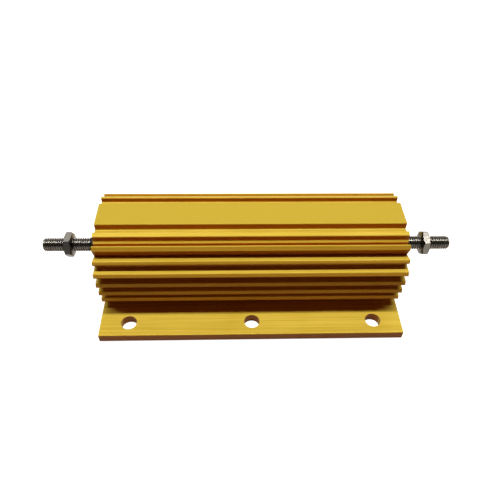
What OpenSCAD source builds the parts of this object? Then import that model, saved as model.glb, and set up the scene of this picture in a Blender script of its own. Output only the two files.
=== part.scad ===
// Chassis mounting wirewound resistor in a finned aluminium housing.
// X runs along the housing, Y across its base, Z up. The origin is the
// middle of the underside of the base. The left end is the -X end.

/* [Housing] */
// Length of the extrusion
housing_length = 127.9; // [110:0.1:180]
// Width of the base over both flanges
base_width = 72.5; // [68:0.5:90]
// Thickness of the base flanges
base_thick = 4.2; // [3:0.1:5]
// Height of the pad on top above the underside
housing_height = 39.4; // [38.8:0.1:41]
// Width of the pad on top
pad_width = 12.9; // [12:0.1:13.4]
// Width of the foot that joins the barrel to the base
foot_width = 32; // [28:0.5:35]
// Outer diameter of the barrel round the bore
barrel_d = 38.7; // [37.5:0.1:39.2]
// Height of the bore's axis above the underside
axis_height = 21; // [20:0.1:21.5]
// Diameter of the bore that holds the element
bore_d = 26; // [24:0.5:28]
// Radius on the edges of the extrusion
edge_r = 0.4; // [0.1:0.05:0.5]
// Radius in its inside corners
corner_r = 0.5; // [0.1:0.05:0.7]

/* [Level fins] */
// Number of level fins on each side
level_fins = 4; // [1:1:4]
// Height of the top face of the lowest fin
first_fin_height = 10.1; // [9:0.1:10.5]
// Distance from one fin to the next
fin_pitch = 5.65; // [5:0.05:5.8]
// Thickness of a fin at its tip
fin_tip = 2; // [1:0.1:2.2]
// Backward slope of the tips
tip_slope = 20; // [0:1:24]
// Thickness of a fin at its root
fin_root = 2.6; // [2.3:0.1:2.8]
// Widest distance over the tips of both sides
fins_width = 46.7; // [44:0.1:50]
// Height at which the tips are widest apart
widest_height = 20.5; // [17:0.5:23]
// Radius of the arc that the tips follow
bow_r = 50; // [30:0.5:80]

/* [Crown] */
// Angle by which the two outer fins of the crown lean
lean = 20; // [16:0.5:22]
// Thickness of the shoulder fin
shoulder_fin = 2.2; // [1.8:0.1:2.6]
// Thickness of the outer fin
outer_fin = 2; // [1.5:0.1:2.1]
// Diameter of the circle that the corners of their tips lie on
crown_d = 50.3; // [50:0.1:50.8]
// Depth of that circle's centre below the pad
crown_drop = 23.3; // [23.1:0.1:23.6]
// Angle at which the tips of the two outer fins are cut
tip_bevel = 61; // [52:1:64]
// Rounding of the lower corner of the shoulder fin's tip
nose_r = 0.8; // [0.4:0.1:1]
// Drop from the pad to the upper corner of the shoulder fin's tip
shoulder_drop = 7.65; // [7.2:0.05:8.2]
// Drop from the pad to the lower corner of the outer fin's tip
outer_fin_drop = 4.8; // [4.5:0.1:5.2]
// Thickness of the upright inner fin
inner_fin = 2.1; // [1.4:0.1:2.3]
// Width of the slot between the pad and the inner fin
pad_slot_width = 3.75; // [3.2:0.05:4]
// Depth of that slot below the pad
pad_slot_depth = 2.9; // [2.4:0.1:3.4]
// Width of the core's ledge beside the inner fin
core_ledge = 0.9; // [0.6:0.1:1.2]
// Depth of the slot behind the outer fin below the pad
core_slot_depth = 6.6; // [5.8:0.1:7]

/* [Mounting holes] */
// Distance from an end of the housing to the outer holes
hole_end = 11.95; // [8:0.05:20]
// Distance from the edge of a flange to its row of holes
hole_edge = 6.5; // [5:0.1:9]
// Diameter of a hole
hole_d = 6.6; // [4.5:0.1:7]

/* [Element] */
// Diameter of the ceramic core
ceramic_d = 17; // [14:0.5:18]
// Diameter of the resistance wire
wire_d = 1; // [0.6:0.1:1.2]
// Distance from one turn to the next
turn_pitch = 2.5; // [1.6:0.1:4]
// Thickness of the cement that binds the turns
cement_thick = 0.4; // [0.2:0.05:0.5]
// Wall of an end cap
cap_wall = 1; // [0.6:0.1:1.3]
// Length of the core that an end cap covers
cap_depth = 9; // [6:0.5:14]
// Depth of compound between a bush and an end cap
end_filling = 9.25; // [6:0.25:14]
// Distance by which the element sits off the middle, towards +X
element_shift = -0.9; // [-1.5:0.1:1.5]

/* [Terminals] */
// Thread diameter of a stud
stud_d = 6; // [5:0.5:8]
// Mean reach of the studs beyond the ends of the housing
stud_reach = 25.15; // [24:0.05:30]
// Chamfer at the free end of a stud
stud_chamfer = 0.7; // [0.3:0.1:1]
// Step from the thread down to the plain shank, on the diameter
shank_step = 0.7; // [0.3:0.1:1.2]
// Diameter of the foot that is welded to the end cap
weld_foot_d = 11; // [10:0.5:13]
// Thickness of that foot
weld_foot_thick = 2; // [1:0.1:3]
// Width of a nut across its flats
nut_flats = 10; // [9:0.1:13]
// Thickness of a nut
nut_thick = 2.4; // [2:0.1:3.2]
// Distance from the housing to the left nut
nut_gap_left = 14.1; // [8:0.1:16]
// Distance from the housing to the right nut
nut_gap_right = 12.4; // [8:0.1:16]
// Turn of the left nut about its stud
nut_turn_left = 5; // [0:1:60]
// Turn of the right nut about its stud
nut_turn_right = 13; // [0:1:60]

/* [Bushes] */
// Wall of the neck round a stud's shank
neck_wall = 0.65; // [0.5:0.05:1.2]
// Length of a neck outside the housing
neck_reach = 5.4; // [3:0.1:7]
// Thickness of the disc that closes the bore
disc_thick = 3; // [2:0.1:4]
// Depth of the disc inside the end of the housing
disc_recess = 0.6; // [0.2:0.1:1.5]
// Clearance between the disc and the bore, on the diameter
disc_clearance = 0.1; // [0:0.05:0.3]

/* [Hidden] */
$fn = 64;
left = -1;
right = 1;
// Cutters run past the faces that they cut by this much
past = 1;
// Straight pieces in a rounded corner of the extrusion
arc_steps = 3;
// Longest straight piece in the barrel's outline
barrel_step = 2;
// A rounding takes at most this share of each side that meets in its corner
side_share = 0.45;
// Share of a nut's width across flats that its end faces keep flat, and the slope beyond
nut_face_share = 0.95;
nut_chamfer_angle = 30;
// Countersink of a nut's thread, on the radius
nut_countersink = 0.3;

housing_end = housing_length / 2;
barrel_r = barrel_d / 2;
pad_floor = housing_height - pad_slot_depth;
disc_face = housing_end - disc_recess;
disc_back = disc_face - disc_thick;
cap_face = disc_back - end_filling;
cap_d = ceramic_d + 2 * cap_wall;
ceramic_length = 2 * (cap_face - cap_wall);
winding_length = ceramic_length - 2 * cap_depth;
shank_d = stud_d - shank_step;
shank_end = housing_end + neck_reach;
stud_tip = housing_end + stud_reach;

// ---- Outline of the extrusion. Its points are [y, z], on the +Y half ----

bore_axis = [0, axis_height];
crown_centre = [0, housing_height - crown_drop];
crown_r = crown_d / 2;

function direction(angle) = [cos(angle), sin(angle)];

// Where a line from a point outside a circle first meets it
function meets(point, angle, centre, r) =
    let (d = direction(angle), q = centre - point, along = q * d)
    point + (along - sqrt(along * along - q * q + r * r)) * d;

// Where a line through one point crosses a line through another
function crosses(p, p_angle, q, q_angle) =
    let (a = direction(p_angle), b = direction(q_angle), gap = q - p)
    p + a * (gap.x * b.y - gap.y * b.x) / (a.x * b.y - a.y * b.x);

// Point of a circle on the +Y side at a height
function beside(centre, r, z) = [centre.x + sqrt(r * r - pow(z - centre.y, 2)), z];

// Point of a circle's upper half at a distance from the middle
function above(centre, r, y) = [y, centre.y + sqrt(r * r - pow(y - centre.x, 2))];

// Outside of the barrel or of its foot, whichever is wider, at a height
function wall_at(z) =
    let (h = abs(z - axis_height))
    [max(foot_width / 2, h < barrel_r ? beside(bore_axis, barrel_r, z).x : 0), z];

// Stretch of that wall between two heights, without its ends
function wall_between(low, high) =
    let (n = ceil((high - low) / barrel_step))
    [for (i = [1 : 1 : n - 1]) wall_at(low + (high - low) * i / n)];

// End of a level fin at a height
function level_tip(z) = beside([fins_width / 2 - bow_r, widest_height], bow_r, z);

// Level fin, with the stretch of wall above it up to the next root
function level_fin(top, next_root) =
    let (low = level_tip(top - fin_tip))
    concat(
        [
            [wall_at(top - fin_root), corner_r],
            [low, edge_r],
            [low + fin_tip * [-tan(tip_slope), 1], edge_r],
            [wall_at(top), corner_r]
        ],
        [for (p = wall_between(top, next_root)) [p, 0]]
    );

// The shoulder fin leans up from the level and the outer one leans out from upright
upright = 90 - lean;
shoulder_top = beside(crown_centre, crown_r, housing_height - shoulder_drop);
shoulder_edge = shoulder_top - shoulder_fin * direction(90 + lean);
shoulder_tip = crosses(shoulder_edge, lean, shoulder_top, -tip_bevel);
shoulder_root = meets(shoulder_tip, 180 + lean, bore_axis, barrel_r);
outer_tip = beside(crown_centre, crown_r, housing_height - outer_fin_drop);
outer_root = crosses(shoulder_top, lean, outer_tip, upright);
outer_back = outer_tip + outer_fin * direction(180 - lean);
outer_back_tip = crosses(outer_back, upright, outer_tip, -tip_bevel);
inner_back = above(crown_centre, crown_r, pad_width / 2 + pad_slot_width);
inner_tip = above(crown_centre, crown_r, inner_back.x + inner_fin);
inner_root = above(bore_axis, barrel_r, inner_tip.x);
core_edge = above(bore_axis, barrel_r, inner_tip.x + core_ledge);
slot_floor = [core_edge.x, housing_height - core_slot_depth];
slot_corner = crosses(outer_back, upright, slot_floor, 0);

// Corners with their radii, from the underside up to the pad
half_outline = concat(
    [
        [[base_width / 2, 0], edge_r],
        [[base_width / 2, base_thick], edge_r],
        [[foot_width / 2, base_thick], corner_r]
    ],
    [
        for (i = [0 : level_fins - 1])
            let (
                top = first_fin_height + i * fin_pitch,
                next_root = i < level_fins - 1 ? top + fin_pitch - fin_root : shoulder_root.y
            )
            each level_fin(top, next_root)
    ],
    [
        [shoulder_root, corner_r],
        [shoulder_tip, nose_r],
        [shoulder_top, edge_r],
        [outer_root, 0],
        [outer_tip, edge_r],
        [outer_back_tip, edge_r],
        [slot_corner, corner_r],
        [slot_floor, corner_r],
        [core_edge, edge_r],
        [inner_root, corner_r],
        [inner_tip, edge_r],
        [inner_back, edge_r],
        [[inner_back.x, pad_floor], corner_r],
        [[pad_width / 2, pad_floor], corner_r],
        [[pad_width / 2, housing_height], edge_r]
    ]
);

function mirrored(corners) = [
    for (i = [len(corners) - 1 : -1 : 0]) [[-corners[i][0].x, corners[i][0].y], corners[i][1]]
];

// One corner as an arc between its two sides
function rounded_corner(before, at, after, r) =
    let (
        a = (before - at) / norm(before - at),
        b = (after - at) / norm(after - at),
        half = acos(a * b) / 2,
        cut = min(
            r / tan(half),
            side_share * norm(before - at),
            side_share * norm(after - at)
        ),
        centre = at + (a + b) / norm(a + b) * cut / cos(half),
        start = at + a * cut - centre,
        end = at + b * cut - centre,
        sweep = 180 - 2 * half
    )
    [
        for (i = [0 : arc_steps])
            let (t = i / arc_steps)
            centre + (start * sin(sweep * (1 - t)) + end * sin(sweep * t)) / sin(sweep)
    ];

function rounded(corners) =
    let (n = len(corners))
    [
        for (i = [0 : n - 1])
            let (at = corners[i][0], r = corners[i][1])
            each r == 0 ? [at] :
                rounded_corner(corners[(i + n - 1) % n][0], at, corners[(i + 1) % n][0], r)
    ];

// ---- Placing ----

// Turns what is drawn along Z onto the bore's axis, off the middle by shift
module on_axis(shift = 0) {
    translate([shift, 0, axis_height]) rotate([0, 90, 0]) children();
}

// Places what is drawn along Z, with Z pointing out of one end
module at_end(side, shift = 0) {
    mirror([side == left ? 1 : 0, 0, 0]) on_axis(side * shift) children();
}

// ---- Housing ----

module housing() {
    color("goldenrod") difference() {
        rotate([90, 0, 90])
            linear_extrude(housing_length, center = true)
                polygon(rounded(concat(half_outline, mirrored(half_outline))));
        on_axis() cylinder(d = bore_d, h = housing_length + 2 * past, center = true);
        mounting_holes();
    }
}

module mounting_holes() {
    for (x = [-1, 0, 1] * (housing_end - hole_end), y = [-1, 1] * (base_width / 2 - hole_edge))
        translate([x, y, -past]) cylinder(d = hole_d, h = base_thick + 2 * past);
}

// ---- Element. Sections are half outlines: x is the radius, y runs along the axis ----

module ceramic_core() {
    color("ivory") on_axis(element_shift)
        cylinder(d = ceramic_d, h = ceramic_length, center = true);
}

// Turns of wire bedded in cement
module winding_section() {
    turns = floor((winding_length - wire_d) / turn_pitch);
    translate([ceramic_d / 2, -winding_length / 2]) square([cement_thick, winding_length]);
    for (i = [0 : turns])
        translate([(ceramic_d + wire_d) / 2, (i - turns / 2) * turn_pitch]) circle(d = wire_d, $fn = 8);
}

module resistance_wire() {
    color("dimgray") on_axis(element_shift) rotate_extrude() winding_section();
}

module end_cap(side) {
    color("silver") at_end(side, element_shift) difference() {
        translate([0, 0, ceramic_length / 2 - cap_depth]) cylinder(d = cap_d, h = cap_depth + cap_wall);
        translate([0, 0, ceramic_length / 2 - cap_depth - past])
            cylinder(d = ceramic_d, h = cap_depth + past);
    }
}

// What the compound flows round: core, turns, caps, and the studs' feet and shanks
module element_section() {
    square([ceramic_d, 2 * cap_face], center = true);
    winding_section();
    for (end = [left, right]) {
        translate([0, end * (cap_face - (cap_wall + cap_depth) / 2)])
            square([cap_d, cap_wall + cap_depth], center = true);
        translate([0, end * (cap_face + weld_foot_thick / 2)])
            square([weld_foot_d, weld_foot_thick], center = true);
    }
    square([shank_d, 2 * housing_end], center = true);
}

module moulding_compound() {
    color("dimgray") on_axis(element_shift) rotate_extrude() difference() {
        translate([0, -disc_back - element_shift]) square([bore_d / 2, 2 * disc_back]);
        element_section();
    }
}

// ---- Terminals ----

// Foot, plain shank in the bush, and the thread at its full diameter
module terminal_stud(side) {
    foot_start = cap_face + side * element_shift;
    tip = stud_tip + side * element_shift;
    color("silver") at_end(side) rotate_extrude() polygon([
        [0, foot_start],
        [weld_foot_d / 2, foot_start],
        [weld_foot_d / 2, foot_start + weld_foot_thick],
        [shank_d / 2, foot_start + weld_foot_thick],
        [shank_d / 2, shank_end],
        [stud_d / 2, shank_end],
        [stud_d / 2, tip - stud_chamfer],
        [stud_d / 2 - stud_chamfer, tip],
        [0, tip]
    ]);
}

module insulating_bush(side) {
    neck_r = shank_d / 2 + neck_wall;
    disc_r = (bore_d - disc_clearance) / 2;
    color("black") at_end(side) rotate_extrude() polygon([
        [shank_d / 2, disc_back],
        [disc_r, disc_back],
        [disc_r, disc_face],
        [neck_r, disc_face],
        [neck_r, shank_end],
        [shank_d / 2, shank_end]
    ]);
}

// Hexagon nut with both faces chamfered and its thread at full diameter
module terminal_nut(side, gap, turn) {
    corner = nut_flats / 2 / cos(30);
    face = nut_flats / 2 * nut_face_share;
    chamfer = (corner - face) * tan(nut_chamfer_angle);
    mouth = stud_d / 2 + nut_countersink;
    color("silver") at_end(side) translate([0, 0, housing_end + gap]) rotate([0, 0, turn]) difference() {
        intersection() {
            cylinder(r = corner, h = nut_thick, $fn = 6);
            rotate_extrude() polygon([
                [0, 0],
                [face, 0],
                [corner, chamfer],
                [corner, nut_thick - chamfer],
                [face, nut_thick],
                [0, nut_thick]
            ]);
        }
        rotate_extrude() polygon([
            [0, -past],
            [mouth, -past],
            [mouth, 0],
            [stud_d / 2, nut_countersink],
            [stud_d / 2, nut_thick - nut_countersink],
            [mouth, nut_thick],
            [mouth, nut_thick + past],
            [0, nut_thick + past]
        ]);
    }
}

housing();
ceramic_core();
resistance_wire();
moulding_compound();
end_cap(left);  // end_cap_left
end_cap(right);  // end_cap_right
terminal_stud(left);  // terminal_stud_left
terminal_stud(right);  // terminal_stud_right
insulating_bush(left);  // insulating_bush_left
insulating_bush(right);  // insulating_bush_right
terminal_nut(left, nut_gap_left, nut_turn_left);  // terminal_nut_left
terminal_nut(right, nut_gap_right, nut_turn_right);  // terminal_nut_right
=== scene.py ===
import math

import bmesh
import bpy
from mathutils import Matrix, Vector


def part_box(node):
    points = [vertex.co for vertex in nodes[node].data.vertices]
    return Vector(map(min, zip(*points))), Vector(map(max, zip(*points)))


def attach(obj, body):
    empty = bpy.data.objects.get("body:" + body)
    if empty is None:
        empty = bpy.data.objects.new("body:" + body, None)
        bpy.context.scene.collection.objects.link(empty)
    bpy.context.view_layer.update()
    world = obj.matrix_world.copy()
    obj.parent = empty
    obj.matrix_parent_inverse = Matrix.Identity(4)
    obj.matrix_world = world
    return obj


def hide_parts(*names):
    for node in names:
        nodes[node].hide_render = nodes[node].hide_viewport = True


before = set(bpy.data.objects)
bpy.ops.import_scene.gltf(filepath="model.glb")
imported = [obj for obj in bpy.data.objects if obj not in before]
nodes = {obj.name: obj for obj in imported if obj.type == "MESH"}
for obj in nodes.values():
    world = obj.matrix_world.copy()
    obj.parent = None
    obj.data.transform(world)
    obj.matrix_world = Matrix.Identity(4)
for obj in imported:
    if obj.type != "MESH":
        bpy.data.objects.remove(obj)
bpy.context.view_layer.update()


# ---- Ceramic core ----
# The round rod of white alumina that the wire is wound on. It is pressed and
# fired, so it is matt, with a fine even grain. It sits in the middle of the bore.

MM = 0.001                     # a millimetre, in metres


def linear_colour(hex_colour):
    """An sRGB hex value as linear red, green, blue and alpha."""
    parts = [int(hex_colour[i:i + 2], 16) / 255 for i in (1, 3, 5)]
    return [p / 12.92 if p <= 0.04045 else ((p + 0.055) / 1.055) ** 2.4 for p in parts] + [1.0]


def add_node(tree, kind, inputs=None, **settings):
    """A node with its settings. What feeds an input is a value, a socket, or a node by its first output."""
    made = tree.nodes.new(kind)
    for name, value in settings.items():
        setattr(made, name, value)
    for name, value in (inputs or {}).items():
        if isinstance(value, bpy.types.Node):
            value = value.outputs[0]
        if isinstance(value, bpy.types.NodeSocket):
            tree.links.new(value, made.inputs[name])
        else:
            made.inputs[name].default_value = value
    return made


def start_finish(name):
    """An empty material, its node tree and the position on the piece, in metres."""
    finish = bpy.data.materials.new(name)
    finish.use_nodes = True
    tree = finish.node_tree
    tree.nodes.clear()
    place = add_node(tree, "ShaderNodeTexCoord").outputs["Object"]
    return finish, tree, place


def end_finish(tree, inputs):
    """Puts the surface itself on the patterns that are ready for it."""
    surface = add_node(tree, "ShaderNodeBsdfPrincipled", inputs)
    add_node(tree, "ShaderNodeOutputMaterial", {"Surface": surface})


def dress(piece, finish):
    """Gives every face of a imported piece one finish."""
    for held in piece.material_slots:
        held.material = finish


# Unglazed alumina: dense off-white ceramic with a grain of about 0.4 mm and a dry, matt skin
unglazed_alumina, tree, place = start_finish("unglazed_alumina")
grain = add_node(tree, "ShaderNodeTexNoise", {"Vector": place, "Scale": 1 / (0.4 * MM), "Detail": 3.0})
alumina_colour = add_node(tree, "ShaderNodeMix", {
    0: grain,
    6: linear_colour("#DDD6C6"),
    7: linear_colour("#EDE8DC"),
}, data_type="RGBA")
alumina_grain = add_node(tree, "ShaderNodeBump", {
    "Height": grain,
    "Strength": 0.2,
    "Distance": 0.05 * MM,
})
end_finish(tree, {
    "Base Color": alumina_colour.outputs[2],
    "Roughness": 0.62,
    "IOR": 1.6,
    "Normal": alumina_grain,
})
dress(nodes["ceramic_core"], unglazed_alumina)


# ---- Resistance wire ----
# One layer of copper nickel wire wound round the core, with its turns bedded
# in a thin skin of cement. The wire is oxidised dark and the cement is pale.

cement_skin_r = 8.95 * MM
wire_shine = 0.8               # how much of the oxidised wire's surface is bare metal
low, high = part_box("ceramic_core")
bore_height = (low.z + high.z) / 2

# Oxidised copper nickel in cement: what stands above the cement's skin is wire, dark and half glossy
wound_wire, tree, place = start_finish("oxidised_copper_nickel_in_cement")
from_axis = add_node(tree, "ShaderNodeMapping", {
    "Vector": place,
    "Location": (0.0, 0.0, -bore_height),
})
sides = add_node(tree, "ShaderNodeVectorMath", {
    0: from_axis,
    1: (0.0, 1.0, 1.0),
}, operation="MULTIPLY")
distance = add_node(tree, "ShaderNodeVectorMath", {0: sides}, operation="LENGTH")
is_wire = add_node(tree, "ShaderNodeMath", {
    0: distance,
    1: cement_skin_r,
}, operation="GREATER_THAN")
oxide = add_node(tree, "ShaderNodeTexNoise", {"Vector": place, "Scale": 1 / (0.6 * MM), "Detail": 2.0})
wire_colour = add_node(tree, "ShaderNodeMix", {
    0: oxide,
    6: linear_colour("#3E3A38"),
    7: linear_colour("#6A6259"),
}, data_type="RGBA")
wound_colour = add_node(tree, "ShaderNodeMix", {
    0: is_wire,
    6: linear_colour("#B9B2A2"),
    7: wire_colour.outputs[2],
}, data_type="RGBA")
wound_metal = add_node(tree, "ShaderNodeMath", {0: is_wire, 1: wire_shine}, operation="MULTIPLY")
end_finish(tree, {
    "Base Color": wound_colour.outputs[2],
    "Metallic": wound_metal,
    "Roughness": 0.5,
})
dress(nodes["resistance_wire"], wound_wire)


# ---- End caps ----
# A steel cup pressed onto each end of the core. The winding's ends are welded
# to its rim and the stud's foot to its face. Tin plated, so it is soft and bright.

# Tin plated steel, deep drawn: pale grey, with drawing marks along the cup's wall about 0.3 mm apart
tinned_steel, tree, place = start_finish("deep_drawn_tinned_steel")
drawn = add_node(tree, "ShaderNodeMapping", {
    "Vector": place,
    "Scale": (1 / (8 * MM), 1 / (0.3 * MM), 1 / (0.3 * MM)),
})
drawing_marks = add_node(tree, "ShaderNodeTexNoise", {"Vector": drawn, "Scale": 1.0, "Detail": 2.0})
tin_roughness = add_node(tree, "ShaderNodeMapRange", {
    "Value": drawing_marks,
    "To Min": 0.28,
    "To Max": 0.42,
})
tin_bump = add_node(tree, "ShaderNodeBump", {
    "Height": drawing_marks,
    "Strength": 0.25,
    "Distance": 0.02 * MM,
})
end_finish(tree, {
    "Base Color": linear_colour("#C9C8C3"),
    "Metallic": 1.0,
    "Roughness": tin_roughness,
    "Normal": tin_bump,
})
for cap in ("end_cap_left", "end_cap_right"):
    dress(nodes[cap], tinned_steel)


# ---- Terminal studs ----
# A nickel plated steel stud at each end. Its round foot is welded to the end
# cap, a plain shank passes through the bush, and the rest is a rolled M6 thread.

around = 48                    # faces round a stud
thread_steps = 8               # rows of points in one turn of the thread
thread_pitch = 1.0 * MM
thread_height = 0.61 * MM
stud_r = 3.0 * MM
shank_r = 2.65 * MM
foot_r = 5.5 * MM
foot_thick = 2.0 * MM
tip_chamfer = 0.7 * MM
root_middle = 9 / 16           # where the root is, in parts of a pitch
root_edge = 1 / 16             # from the middle of the root to its edge, and to the crest's
crest_edge = 7 / 16
hair = 0.0001 * MM             # closer than this, two heights on a stud are the same
weld_gap = 0.002 * MM          # points closer than this become one
least_edge = 0.001 * MM        # shorter edges are closed up
soft_angle = math.radians(35)  # faces that meet at less are shaded as one
thread_start = 69.35 * MM      # from the middle of the part, as far as the bush reaches


def turned_blank(name, section):
    """A turned part along Z, from its half section of radius and place. It stays open at its far end."""
    shape = bmesh.new()
    rings = []
    for radius, z in section:
        if radius == 0:
            rings.append([shape.verts.new((0, 0, z))] * around)
            continue
        rings.append([
            shape.verts.new((radius * math.cos(a), radius * math.sin(a), z))
            for a in (2 * math.pi * i / around for i in range(around))
        ])
    for low, high in zip(rings, rings[1:]):
        for i in range(around):
            j = (i + 1) % around
            corners = dict.fromkeys((low[i], low[j], high[j], high[i]))
            shape.faces.new(list(corners))
    mesh = bpy.data.meshes.new(name)
    shape.to_mesh(mesh)
    shape.free()
    blank = bpy.data.objects.new(name, mesh)
    bpy.context.scene.collection.objects.link(blank)
    return blank


def thread_rolling():
    """Grows a helical thread, with a chamfered closed tip, on the open end of a blank."""
    tree = bpy.data.node_groups.new("thread_rolling", "GeometryNodeTree")
    face = tree.interface
    face.new_socket("Blank", in_out="INPUT", socket_type="NodeSocketGeometry")
    for name in ("Start", "End", "Pitch", "Thread radius", "Root radius", "Shank radius", "Tip radius"):
        face.new_socket(name, in_out="INPUT", socket_type="NodeSocketFloat")
    for name in ("Rows", "Steps", "Around"):
        face.new_socket(name, in_out="INPUT", socket_type="NodeSocketInt")
    face.new_socket("Finish", in_out="INPUT", socket_type="NodeSocketMaterial")
    face.new_socket("Stud", in_out="OUTPUT", socket_type="NodeSocketGeometry")
    given = add_node(tree, "NodeGroupInput").outputs

    # A grid whose rows become rings. Its last column meets its first one a turn further on
    columns = add_node(tree, "ShaderNodeMath", {0: given["Around"], 1: 1.0}, operation="ADD")
    grid = add_node(tree, "GeometryNodeMeshGrid", {"Vertices X": given["Rows"], "Vertices Y": columns})
    index = add_node(tree, "GeometryNodeInputIndex")
    middle = add_node(tree, "ShaderNodeMath", {0: index, 1: 0.5}, operation="ADD")
    rows_done = add_node(tree, "ShaderNodeMath", {0: middle, 1: columns}, operation="DIVIDE")
    row = add_node(tree, "ShaderNodeMath", {0: rows_done}, operation="FLOOR")
    row_start = add_node(tree, "ShaderNodeMath", {0: row, 1: columns}, operation="MULTIPLY")
    column = add_node(tree, "ShaderNodeMath", {0: index, 1: row_start}, operation="SUBTRACT")

    # Each row climbs one pitch in a turn. It is held between the shank and the tip
    turn = add_node(tree, "ShaderNodeMath", {0: column, 1: given["Around"]}, operation="DIVIDE")
    rows_up = add_node(tree, "ShaderNodeMath", {0: row, 1: given["Steps"]}, operation="DIVIDE")
    climbed = add_node(tree, "ShaderNodeMath", {0: rows_up, 1: turn}, operation="ADD")
    turns_up = add_node(tree, "ShaderNodeMath", {0: climbed, 1: 1.0}, operation="SUBTRACT")
    rise = add_node(tree, "ShaderNodeMath", {0: turns_up, 1: given["Pitch"]}, operation="MULTIPLY")
    free_z = add_node(tree, "ShaderNodeMath", {0: given["Start"], 1: rise}, operation="ADD")
    started_z = add_node(tree, "ShaderNodeMath", {0: free_z, 1: given["Start"]}, operation="MAXIMUM")
    z = add_node(tree, "ShaderNodeMath", {0: started_z, 1: given["End"]}, operation="MINIMUM")

    # In one pitch there is a flat crest and a flat root, an eighth of it each, and two straight flanks
    phase = add_node(tree, "ShaderNodeMath", {0: rows_up}, operation="FRACT")
    past_root = add_node(tree, "ShaderNodeMath", {0: phase, 1: root_middle}, operation="SUBTRACT")
    from_root = add_node(tree, "ShaderNodeMath", {0: past_root}, operation="ABSOLUTE")
    thread = add_node(tree, "ShaderNodeMapRange", {
        "Value": from_root,
        "From Min": root_edge,
        "From Max": crest_edge,
        "To Min": given["Root radius"],
        "To Max": given["Thread radius"],
    })

    # The thread runs in from the shank and out to the chamfered tip at 45 degrees
    past_start = add_node(tree, "ShaderNodeMath", {0: z, 1: given["Start"]}, operation="SUBTRACT")
    lead_in = add_node(tree, "ShaderNodeMath", {0: given["Shank radius"], 1: past_start}, operation="ADD")
    to_end = add_node(tree, "ShaderNodeMath", {0: given["End"], 1: z}, operation="SUBTRACT")
    chamfer = add_node(tree, "ShaderNodeMath", {0: given["Tip radius"], 1: to_end}, operation="ADD")
    tapers = add_node(tree, "ShaderNodeMath", {0: lead_in, 1: chamfer}, operation="MINIMUM")
    cut = add_node(tree, "ShaderNodeMath", {0: thread, 1: tapers}, operation="MINIMUM")

    # Rows that are held back close up into the rings of the shank and the tip
    first_z = add_node(tree, "ShaderNodeMath", {0: given["Start"], 1: hair}, operation="ADD")
    before = add_node(tree, "ShaderNodeMath", {0: free_z, 1: first_z}, operation="LESS_THAN")
    last_z = add_node(tree, "ShaderNodeMath", {0: given["End"], 1: hair}, operation="SUBTRACT")
    after = add_node(tree, "ShaderNodeMath", {0: free_z, 1: last_z}, operation="GREATER_THAN")
    started = add_node(tree, "GeometryNodeSwitch", {
        "Switch": before, "False": cut, "True": given["Shank radius"],
    }, input_type="FLOAT")
    radius = add_node(tree, "GeometryNodeSwitch", {
        "Switch": after, "False": started, "True": given["Tip radius"],
    }, input_type="FLOAT")

    angle = add_node(tree, "ShaderNodeMath", {0: turn, 1: 2 * math.pi}, operation="MULTIPLY")
    cosine = add_node(tree, "ShaderNodeMath", {0: angle}, operation="COSINE")
    sine = add_node(tree, "ShaderNodeMath", {0: angle}, operation="SINE")
    x = add_node(tree, "ShaderNodeMath", {0: radius, 1: cosine}, operation="MULTIPLY")
    y = add_node(tree, "ShaderNodeMath", {0: radius, 1: sine}, operation="MULTIPLY")
    place = add_node(tree, "ShaderNodeCombineXYZ", {"X": x, "Y": y, "Z": z})
    rolled = add_node(tree, "GeometryNodeSetPosition", {
        "Geometry": grid,
        "Position": place,
    })
    tip = add_node(tree, "GeometryNodeMeshCircle", {
        "Vertices": given["Around"],
        "Radius": given["Tip radius"],
    }, fill_type="TRIANGLE_FAN")
    tip_place = add_node(tree, "ShaderNodeCombineXYZ", {"Z": given["End"]})
    moved_tip = add_node(tree, "GeometryNodeTransform", {
        "Geometry": tip,
        "Translation": tip_place,
    })
    whole = add_node(tree, "GeometryNodeJoinGeometry")
    for part in (moved_tip.outputs["Geometry"], rolled.outputs["Geometry"], given["Blank"]):
        tree.links.new(part, whole.inputs["Geometry"])
    welded = add_node(tree, "GeometryNodeMergeByDistance", {
        "Geometry": whole,
        "Distance": weld_gap,
    })
    real = add_node(tree, "GeometryNodeRealizeInstances", {"Geometry": welded})
    dressed = add_node(tree, "GeometryNodeSetMaterial", {"Geometry": real, "Material": given["Finish"]})
    add_node(tree, "NodeGroupOutput", {"Stud": dressed})
    return tree


def set_inputs(modifier, values):
    """Gives a modifier's named inputs their values, by the sockets' identifiers."""
    for socket in modifier.node_group.interface.items_tree:
        if socket.name in values:
            modifier[socket.identifier] = values[socket.name]


def settle(piece, turn):
    """Turns the finished shape into a plain mesh that stands in its place, with its faces outwards."""
    seen = bpy.context.evaluated_depsgraph_get()
    mesh = bpy.data.meshes.new_from_object(piece.evaluated_get(seen), depsgraph=seen)
    piece.modifiers.clear()
    piece.data = mesh
    mesh.transform(turn)
    shape = bmesh.new()
    shape.from_mesh(mesh)
    bmesh.ops.dissolve_degenerate(shape, dist=least_edge, edges=shape.edges)
    bmesh.ops.recalc_face_normals(shape, faces=shape.faces)
    shape.to_mesh(mesh)
    shape.free()
    mesh.shade_smooth()
    mesh.set_sharp_from_angle(angle=soft_angle)


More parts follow.
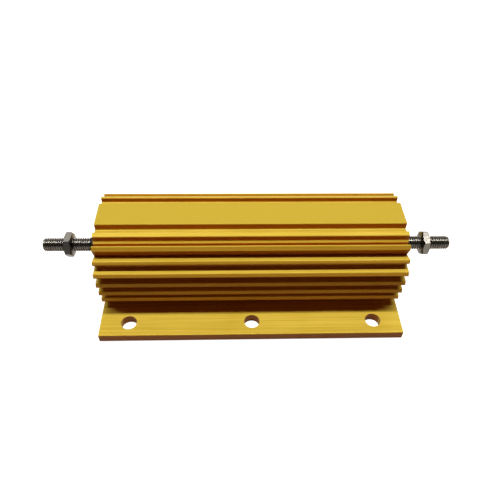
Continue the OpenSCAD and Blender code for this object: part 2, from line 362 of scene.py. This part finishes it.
# Nickel plated steel with a rolled thread: neutral to slightly warm grey, polished on the
# crests by the dies, with faint marks round the stud about 0.15 mm apart
rolled_steel, tree, place = start_finish("nickel_plated_rolled_steel")
marks = add_node(tree, "ShaderNodeMapping", {
    "Vector": place,
    "Scale": (1 / (0.15 * MM), 1 / (3 * MM), 1 / (3 * MM)),
})
rolling_marks = add_node(tree, "ShaderNodeTexNoise", {"Vector": marks, "Scale": 1.0, "Detail": 2.0})
tarnish = add_node(tree, "ShaderNodeTexNoise", {"Vector": place, "Scale": 1 / (2.5 * MM), "Detail": 4.0})
steel_colour = add_node(tree, "ShaderNodeMix", {
    0: tarnish,
    6: linear_colour("#716D66"),
    7: linear_colour("#9C9890"),
}, data_type="RGBA")
steel_roughness = add_node(tree, "ShaderNodeMapRange", {
    "Value": rolling_marks,
    "To Min": 0.18,
    "To Max": 0.34,
})
end_finish(tree, {
    "Base Color": steel_colour.outputs[2],
    "Metallic": 1.0,
    "Roughness": steel_roughness,
})

roller = thread_rolling()
for name, way in (("terminal_stud_left", -1), ("terminal_stud_right", 1)):
    low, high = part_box(name)
    foot_start, tip_end = sorted((abs(low.x), abs(high.x)))
    axis_height = (low.z + high.z) / 2
    rows = math.ceil((tip_end - thread_start) / thread_pitch * thread_steps) + thread_steps + 1
    stud = turned_blank("threaded_" + name, [
        (0, foot_start),
        (foot_r, foot_start),
        (foot_r, foot_start + foot_thick),
        (shank_r, foot_start + foot_thick),
        (shank_r, thread_start),
    ])
    rolling = stud.modifiers.new("thread", "NODES")
    rolling.node_group = roller
    set_inputs(rolling, {
        "Start": thread_start,
        "End": tip_end,
        "Pitch": thread_pitch,
        "Thread radius": stud_r,
        "Root radius": stud_r - thread_height,
        "Shank radius": shank_r,
        "Tip radius": stud_r - tip_chamfer,
        "Rows": rows,
        "Steps": thread_steps,
        "Around": around,
        "Finish": rolled_steel,
    })
    half_turn = 0 if way > 0 else math.pi
    stand = Matrix.Translation((0, 0, axis_height)) @ Matrix.Rotation(half_turn, 4, "Z")
    settle(stud, stand @ Matrix.Rotation(math.pi / 2, 4, "Y"))
    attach(stud, "root")
    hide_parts(name)


# ---- Housing ----
# One aluminium extrusion: barrel, fins, pad and mounting flanges. It is sawn to
# length and drilled, then etched matt and anodised gold all over.

# How level a face is: 1 where it lies flat, 0 where it stands upright
# Painted shade: a face gets a deeper, redder gold the more upright it is, deepest at the first of these
# levels and gone by the third.
slot_side_level = 0.05
fin_tip_level = 0.34
flange_level = 0.8
sawn_level = 0.9               # the same along the extrusion, above which a face is a sawn end
pad_skin = 0.1 * MM            # the top of the housing, down to this, is the pad
dye_share = 0.35               # slow changes of the dye, beside those from line to line

# Anodised aluminium, extruded and etched: a satin gold, with fine lines along the
# extrusion from the die. The real ones are about 0.1 mm apart and are drawn at 0.5 mm to show.
# The sawn ends have straight marks across them instead. Upright faces and slots get painted shade:
# a deeper, redder gold that stands in for the shade between the fins. The pad on top is a shade darker
# than the flanges. The sheen is golden too, because most of it comes back from the metal through the dyed
# film.
gold_anodised, tree, place = start_finish("gold_anodised_extruded_aluminium")
along_die = add_node(tree, "ShaderNodeMapping", {
    "Vector": place,
    "Scale": (1 / (45 * MM), 1 / (0.5 * MM), 1 / (0.5 * MM)),
})
die_lines = add_node(tree, "ShaderNodeTexNoise", {
    "Vector": along_die, "Scale": 1.0, "Detail": 3.0, "Roughness": 0.6,
})
across_saw = add_node(tree, "ShaderNodeMapping", {
    "Vector": place,
    "Scale": (1 / (2 * MM), 1 / (30 * MM), 1 / (0.35 * MM)),
})
saw_marks = add_node(tree, "ShaderNodeTexNoise", {
    "Vector": across_saw, "Scale": 1.0, "Detail": 3.0, "Roughness": 0.6,
})
facing = add_node(tree, "ShaderNodeTexCoord").outputs["Normal"]
facing_parts = add_node(tree, "ShaderNodeSeparateXYZ", {"Vector": facing})
endwise = add_node(tree, "ShaderNodeMath", {0: facing_parts.outputs["X"]}, operation="ABSOLUTE")
is_sawn = add_node(tree, "ShaderNodeMath", {0: endwise, 1: sawn_level}, operation="GREATER_THAN")
lines = add_node(tree, "ShaderNodeMix", {
    0: is_sawn,
    2: die_lines,
    3: saw_marks,
}, data_type="FLOAT")
dye = add_node(tree, "ShaderNodeTexNoise", {"Vector": place, "Scale": 1 / (25 * MM), "Detail": 2.0})
tone = add_node(tree, "ShaderNodeMath", {
    0: dye,
    1: dye_share,
    2: lines,
}, operation="MULTIPLY_ADD")
gold_colour = add_node(tree, "ShaderNodeMapRange", {
    "Value": tone,
    "From Min": 0.5,
    "From Max": 0.85,
})
gold = add_node(tree, "ShaderNodeMix", {
    0: gold_colour,
    6: linear_colour("#C2A430"),
    7: linear_colour("#DABD48"),
}, data_type="RGBA")
# Painted shade for upright faces, slot sides and faces turned down: deeper and redder the more upright they
# stand.
painted_shade_gold = add_node(tree, "ShaderNodeValToRGB", {"Fac": facing_parts.outputs["Z"]})
painted_slot_shade, painted_tip_shade = painted_shade_gold.color_ramp.elements
painted_slot_shade.position = slot_side_level
painted_slot_shade.color = linear_colour("#AE660A")
painted_tip_shade.position = fin_tip_level
painted_tip_shade.color = linear_colour("#DAA42C")
is_lying = add_node(tree, "ShaderNodeMapRange", {
    "Value": facing_parts.outputs["Z"],
    "From Min": fin_tip_level,
    "From Max": flange_level,
})
lying_or_sawn = add_node(tree, "ShaderNodeMath", {
    0: is_lying,
    1: is_sawn,
}, operation="MAXIMUM")
# Level faces and sawn ends take the plain gold, and the others keep the painted shade.
gold_with_painted_shade = add_node(tree, "ShaderNodeMix", {
    0: lying_or_sawn,
    6: painted_shade_gold,
    7: gold.outputs[2],
}, data_type="RGBA")
height = add_node(tree, "ShaderNodeSeparateXYZ", {"Vector": place}).outputs["Z"]
is_pad = add_node(tree, "ShaderNodeMath", {
    0: height,
    1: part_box("housing")[1].z - pad_skin,
}, operation="GREATER_THAN")
whole_gold = add_node(tree, "ShaderNodeMix", {
    0: is_pad,
    6: gold_with_painted_shade.outputs[2],
    7: linear_colour("#BCA231"),
}, data_type="RGBA")
gold_roughness = add_node(tree, "ShaderNodeMapRange", {
    "Value": lines,
    "From Min": 0.3,
    "From Max": 0.7,
    "To Min": 0.36,
    "To Max": 0.46,
})
gold_bump = add_node(tree, "ShaderNodeBump", {
    "Height": lines,
    "Strength": 0.25,
    "Distance": 0.02 * MM,
})
end_finish(tree, {
    "Base Color": whole_gold.outputs[2],
    "Metallic": 0.15,
    "Roughness": gold_roughness,
    "Specular IOR Level": 0.3,
    "Specular Tint": linear_colour("#FFDC8C"),
    "Normal": gold_bump,
})
dress(nodes["housing"], gold_anodised)


# ---- Moulding compound ----
# Silicone cement fills the bore round the element and carries its heat to the
# housing. It is poured grey, sets matt, and holds coarse mineral filler.

# Filled silicone cement, cast: dull grey with pale grains of about 0.8 mm
cast_compound, tree, place = start_finish("cast_silicone_cement")
filler = add_node(tree, "ShaderNodeTexVoronoi", {"Vector": place, "Scale": 1 / (0.8 * MM)})
compound_colour = add_node(tree, "ShaderNodeMix", {
    0: filler,
    6: linear_colour("#8E8A80"),
    7: linear_colour("#6F6B63"),
}, data_type="RGBA")
compound_bump = add_node(tree, "ShaderNodeBump", {
    "Height": filler,
    "Strength": 0.3,
    "Distance": 0.08 * MM,
})
end_finish(tree, {
    "Base Color": compound_colour.outputs[2],
    "Roughness": 0.8,
    "Normal": compound_bump,
})
dress(nodes["moulding_compound"], cast_compound)


# ---- Insulating bushes ----
# A black moulded plug closes each end of the bore, and its neck keeps the stud
# off the housing. Glass filled phenolic, pushed in before the compound sets.

# Glass filled phenolic, moulded: near black, half matt, with faint grey glass near the surface
moulded_phenolic, tree, place = start_finish("glass_filled_moulded_phenolic")
glass = add_node(tree, "ShaderNodeTexNoise", {"Vector": place, "Scale": 1 / (0.5 * MM), "Detail": 4.0})
phenolic_colour = add_node(tree, "ShaderNodeMix", {
    0: glass,
    6: linear_colour("#0B0A0A"),
    7: linear_colour("#171513"),
}, data_type="RGBA")
phenolic_roughness = add_node(tree, "ShaderNodeMapRange", {
    "Value": glass,
    "To Min": 0.42,
    "To Max": 0.6,
})
phenolic_bump = add_node(tree, "ShaderNodeBump", {
    "Height": glass,
    "Strength": 0.15,
    "Distance": 0.04 * MM,
})
end_finish(tree, {
    "Base Color": phenolic_colour.outputs[2],
    "Roughness": phenolic_roughness,
    "Specular IOR Level": 0.3,
    "Normal": phenolic_bump,
})
for bush in ("insulating_bush_left", "insulating_bush_right"):
    dress(nodes[bush], moulded_phenolic)


# ---- Terminal nuts ----
# One thin hexagon nut on each stud clamps the cable's ring terminal. It is cut
# from bright bar, chamfered on both faces, countersunk, threaded and nickel plated.

nut_flats = 10 * MM
nut_thick = 3.2 * MM
nut_face_r = 4.75 * MM         # flat part of an end face
nut_bore_r = 3.0 * MM
nut_sink = 0.3 * MM            # countersink of the thread
chamfer_slope = math.tan(math.radians(30))
half_flat = math.pi / 6        # from the middle of a flat to its corner, round the axis
left_turn = 59                 # degrees from level to a corner, as each nut was left
right_turn = 43
nut_columns = 72               # faces round a nut, twelve to a flat


def hexagon_nut(name, turn):
    """A chamfered nut along X, with its outer face at zero, and one corner turned up from the front."""
    shape = bmesh.new()
    columns = []
    for i in range(nut_columns):
        angle = 2 * math.pi * i / nut_columns
        side_r = nut_flats / 2 / math.cos((angle + half_flat) % (2 * half_flat) - half_flat)
        cut = (side_r - nut_face_r) * chamfer_slope
        section = (
            (nut_bore_r, nut_sink),
            (nut_bore_r + nut_sink, 0),
            (nut_face_r, 0),
            (side_r, cut),
            (side_r, nut_thick - cut),
            (nut_face_r, nut_thick),
            (nut_bore_r + nut_sink, nut_thick),
            (nut_bore_r, nut_thick - nut_sink),
        )
        turned = angle + math.radians(turn) + half_flat
        columns.append([
            shape.verts.new((x, -r * math.cos(turned), r * math.sin(turned)))
            for r, x in section
        ])
    for i, column in enumerate(columns):
        beside = columns[(i + 1) % len(columns)]
        for j in range(len(column)):
            k = (j + 1) % len(column)
            shape.faces.new((column[j], column[k], beside[k], beside[j]))
    mesh = bpy.data.meshes.new(name)
    shape.to_mesh(mesh)
    shape.free()
    nut = bpy.data.objects.new(name, mesh)
    bpy.context.scene.collection.objects.link(nut)
    return nut


# Nickel plated steel, turned and milled: smooth flats, and faint cutter marks 0.2 mm apart on the faces
plated_nut, tree, place = start_finish("nickel_plated_machined_steel")
cutter = add_node(tree, "ShaderNodeMapping", {
    "Vector": place,
    "Scale": (1 / (4 * MM), 1 / (0.2 * MM), 1 / (1.5 * MM)),
})
cutter_marks = add_node(tree, "ShaderNodeTexNoise", {"Vector": cutter, "Scale": 1.0, "Detail": 2.0})
handled = add_node(tree, "ShaderNodeTexNoise", {"Vector": place, "Scale": 1 / (3 * MM), "Detail": 4.0})
nut_colour = add_node(tree, "ShaderNodeMix", {
    0: handled,
    6: linear_colour("#67635C"),
    7: linear_colour("#8C8880"),
}, data_type="RGBA")
nut_roughness = add_node(tree, "ShaderNodeMapRange", {
    "Value": cutter_marks,
    "To Min": 0.12,
    "To Max": 0.24,
})
nut_bump = add_node(tree, "ShaderNodeBump", {
    "Height": cutter_marks,
    "Strength": 0.12,
    "Distance": 0.02 * MM,
})
end_finish(tree, {
    "Base Color": nut_colour.outputs[2],
    "Metallic": 1.0,
    "Roughness": nut_roughness,
    "Normal": nut_bump,
})
for name, way, turn in (("terminal_nut_left", -1, left_turn), ("terminal_nut_right", 1, right_turn)):
    low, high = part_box(name)
    axis_height = (low.z + high.z) / 2
    outer_face = max(abs(low.x), abs(high.x)) * way
    nut = hexagon_nut("chamfered_" + name, turn)
    nut.data.materials.append(plated_nut)
    settle(nut, Matrix.Translation((outer_face, 0, axis_height)) @ Matrix.Diagonal((-way, 1, 1, 1)))
    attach(nut, "root")
    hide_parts(name)


# ---- Floor ----
# A large pale sheet that the resistor lies on. The camera and anything shiny
# see it nearly white, and it keeps the resistor's soft shadow.

floor_half = 2.5               # metres from the middle of the part to each edge
glow_to_camera = 0.94
glow_in_gloss = 0.15
corners = [(x * floor_half, y * floor_half, 0) for x, y in ((-1, -1), (1, -1), (1, 1), (-1, 1))]
floor_mesh = bpy.data.meshes.new("floor")
floor_mesh.from_pydata(corners, [], [(0, 1, 2, 3)])
floor = bpy.data.objects.new("floor", floor_mesh)
bpy.context.scene.collection.objects.link(floor)

# Matt paper: a pale colour and a glow make it nearly white to the camera, and paler than its shade
# in reflections. What it throws back on the part is the light of a darker plain grey.
matt_paper, tree, place = start_finish("matt_paper")
fibres = add_node(tree, "ShaderNodeTexNoise", {"Vector": place, "Scale": 1 / (1.2 * MM), "Detail": 3.0})
paper_colour = add_node(tree, "ShaderNodeMix", {
    0: fibres,
    6: linear_colour("#DEDDDA"),
    7: linear_colour("#E2E1DE"),
}, data_type="RGBA")
shown_paper = add_node(tree, "ShaderNodeBsdfDiffuse", {"Color": paper_colour.outputs[2]})
to_camera = add_node(tree, "ShaderNodeLightPath").outputs["Is Camera Ray"]
glow_strength = add_node(tree, "ShaderNodeMapRange", {
    "Value": to_camera,
    "To Min": glow_in_gloss,
    "To Max": glow_to_camera,
})
paper_glow = add_node(tree, "ShaderNodeEmission", {
    "Color": (1.0, 1.0, 1.0, 1.0),
    "Strength": glow_strength,
})
bright_paper = add_node(tree, "ShaderNodeAddShader", {
    0: shown_paper,
    1: paper_glow,
})
grey_paper = add_node(tree, "ShaderNodeBsdfDiffuse", {"Color": linear_colour("#54504A")})


def seen_directly(tree):
    """1 for rays from the camera, in reflections and through glass, and 0 for light that bounces on."""
    ray = add_node(tree, "ShaderNodeLightPath").outputs
    shiny = add_node(tree, "ShaderNodeMath", {
        0: ray["Is Glossy Ray"], 1: ray["Is Transmission Ray"],
    }, operation="MAXIMUM")
    return add_node(tree, "ShaderNodeMath", {0: ray["Is Camera Ray"], 1: shiny}, operation="MAXIMUM")


paper = add_node(tree, "ShaderNodeMixShader", {
    0: seen_directly(tree),
    1: grey_paper,
    2: bright_paper,
})
add_node(tree, "ShaderNodeOutputMaterial", {"Surface": paper})
floor_mesh.materials.append(matt_paper)


# ---- Light ----
# A long strip light hangs almost straight above, and a broad soft panel stands behind.
# The room is white to the camera. In reflections only its lower part is, and its ceiling is dim.
# What it adds to the light is faint and warm, as it is between gold fins.

part_middle = Vector((0, 0, 20 * MM))


def hang_light(name, place, size_x, size_y, power):
    """A rectangular soft white light that hangs at a place and faces the middle of the part."""
    lamp = bpy.data.lights.new(name, "AREA")
    lamp.shape = "RECTANGLE"
    lamp.size = size_x
    lamp.size_y = size_y
    lamp.energy = power
    hung = bpy.data.objects.new(name, lamp)
    bpy.context.scene.collection.objects.link(hung)
    hung.location = place
    towards = part_middle - Vector(place)
    hung.rotation_euler = towards.to_track_quat("-Z", "Y").to_euler()


hang_light("strip_light", place=(0.0, 0.04, 0.6), size_x=0.9, size_y=0.04, power=5.0)
hang_light("rear_panel", place=(0.0, 0.42, 0.42), size_x=0.9, size_y=0.16, power=0.75)

wall_top = 0.04                # how steeply a reflection looks up before the room starts to darken
ceiling_start = 0.2            # and where it is as dim as the ceiling
ceiling_light = 0.06
warm_fill = 0.1

world = bpy.data.worlds.new("studio")
bpy.context.scene.world = world
world.use_nodes = True
tree = world.node_tree
tree.nodes.clear()
away = add_node(tree, "ShaderNodeTexCoord").outputs["Generated"]
upwards = add_node(tree, "ShaderNodeSeparateXYZ", {"Vector": away}).outputs["Z"]
reflected_room = add_node(tree, "ShaderNodeMapRange", {
    "Value": upwards,
    "From Min": wall_top,
    "From Max": ceiling_start,
    "To Min": 1.0,
    "To Max": ceiling_light,
})
in_gloss = add_node(tree, "ShaderNodeLightPath").outputs["Is Glossy Ray"]
brightness = add_node(tree, "ShaderNodeMix", {
    0: in_gloss,
    2: 1.0,
    3: reflected_room,
}, data_type="FLOAT")
white_room = add_node(tree, "ShaderNodeBackground", {
    "Color": (1.0, 1.0, 1.0, 1.0),
    "Strength": brightness,
})
dim_room = add_node(tree, "ShaderNodeBackground", {
    "Color": linear_colour("#FF8C54"),
    "Strength": warm_fill,
})
room = add_node(tree, "ShaderNodeMixShader", {
    0: seen_directly(tree),
    1: dim_room,
    2: white_room,
})
add_node(tree, "ShaderNodeOutputWorld", {"Surface": room})


# ---- Camera ----
# It looks down on the part from in front, a quarter of a metre away and a little to the left.
# Its turns are measured from a level camera that looks straight back.

camera_place = Vector((-8.370, -156.492, 185.840)) * MM
camera_pitch = math.radians(47.169)
camera_yaw = math.radians(2.984)
camera_roll = math.radians(-1.847)
focal_length = 37.057          # this and the sensor are in millimetres, as the camera takes them
sensor_width = 36.0

forward = Vector((
    math.sin(camera_yaw) * math.cos(camera_pitch),
    math.cos(camera_yaw) * math.cos(camera_pitch),
    -math.sin(camera_pitch),
))
level = Vector((math.cos(camera_yaw), -math.sin(camera_yaw), 0))
below = forward.cross(level)
right = math.cos(camera_roll) * level + math.sin(camera_roll) * below
down = -math.sin(camera_roll) * level + math.cos(camera_roll) * below
camera_data = bpy.data.cameras.new("camera")
camera_data.sensor_width = sensor_width
camera_data.lens = focal_length
camera_data.clip_start = 0.01
camera_data.clip_end = 20
camera = bpy.data.objects.new("camera", camera_data)
bpy.context.scene.collection.objects.link(camera)
turned = Matrix((right, -down, -forward)).transposed().to_4x4()
camera.matrix_world = Matrix.Translation(camera_place) @ turned
bpy.context.scene.camera = camera

bpy.context.scene.view_settings.view_transform = "Standard"
